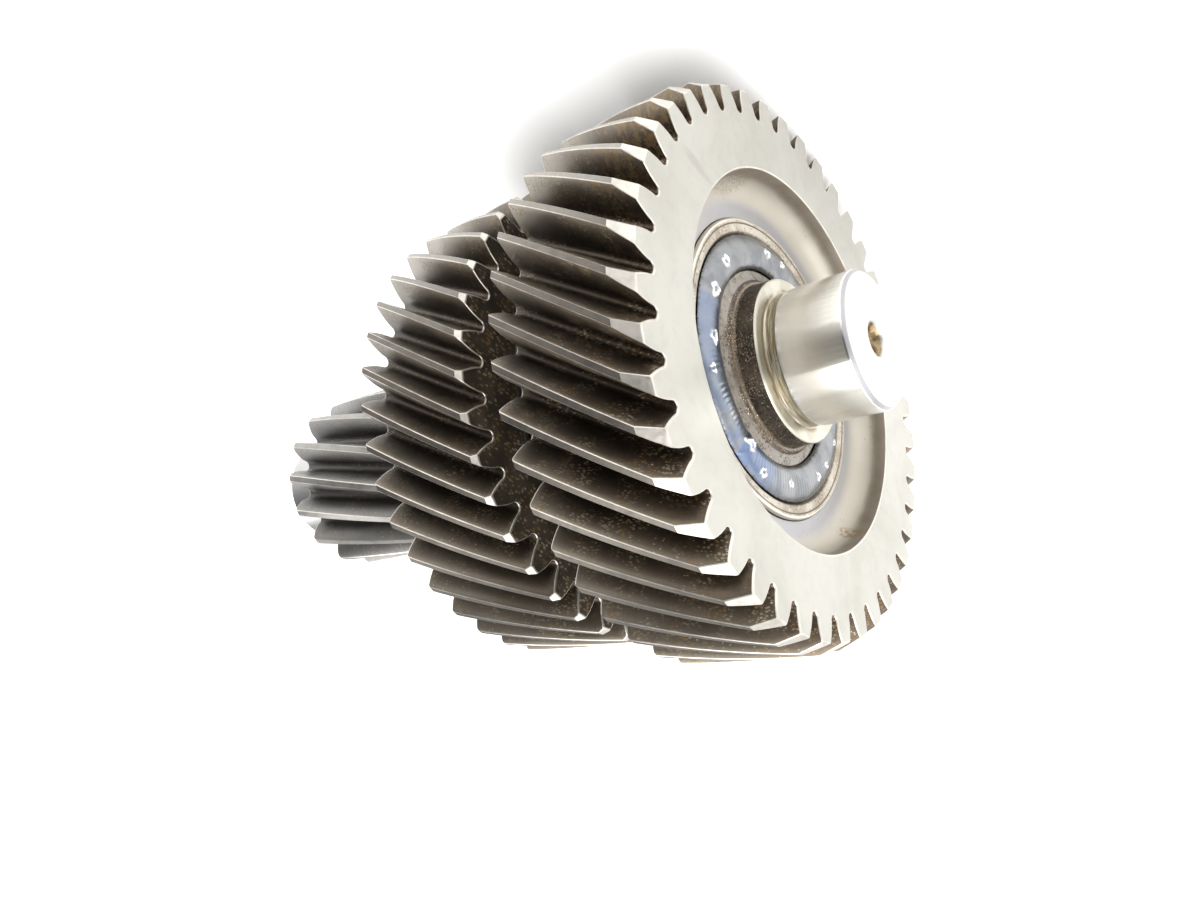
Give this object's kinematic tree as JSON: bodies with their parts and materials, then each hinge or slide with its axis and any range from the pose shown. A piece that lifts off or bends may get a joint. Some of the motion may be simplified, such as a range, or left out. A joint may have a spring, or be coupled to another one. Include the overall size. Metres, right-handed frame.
{
  "type": "helical gear",
  "caption": "Welded countershaft cluster: helical pinion cut on a stepped shaft that carries a large and a second helical gear.",
  "frame": {"origin": "on the shaft axis, midway between the two end faces of the shaft", "axes": "+X along the shaft from the bare near journal towards the pinion end; +Y and +Z square to it"},
  "size_m": [0.3034, 0.208, 0.208],
  "materials": {
    "ground_shaft_steel": "ground and oiled",
    "gear_steel": "satin machined, oily flanks",
    "second_gear_steel": "satin machined, oily flanks",
    "heat_tinted_steel": "brown heat tint",
    "weld_bead_steel": "smooth blue-grey weld",
    "plain_steel": "machined"
  },
  "bodies": {
    "root": {"pinion_shaft": "ground_shaft_steel", "hub_sleeve": "heat_tinted_steel", "large_gear": "gear_steel", "spacer_ring": "plain_steel", "second_gear": "second_gear_steel", "second_gear_key": "plain_steel", "front_weld_bead": "weld_bead_steel", "rear_weld_bead": "weld_bead_steel"}
  },
  "joints": []
}
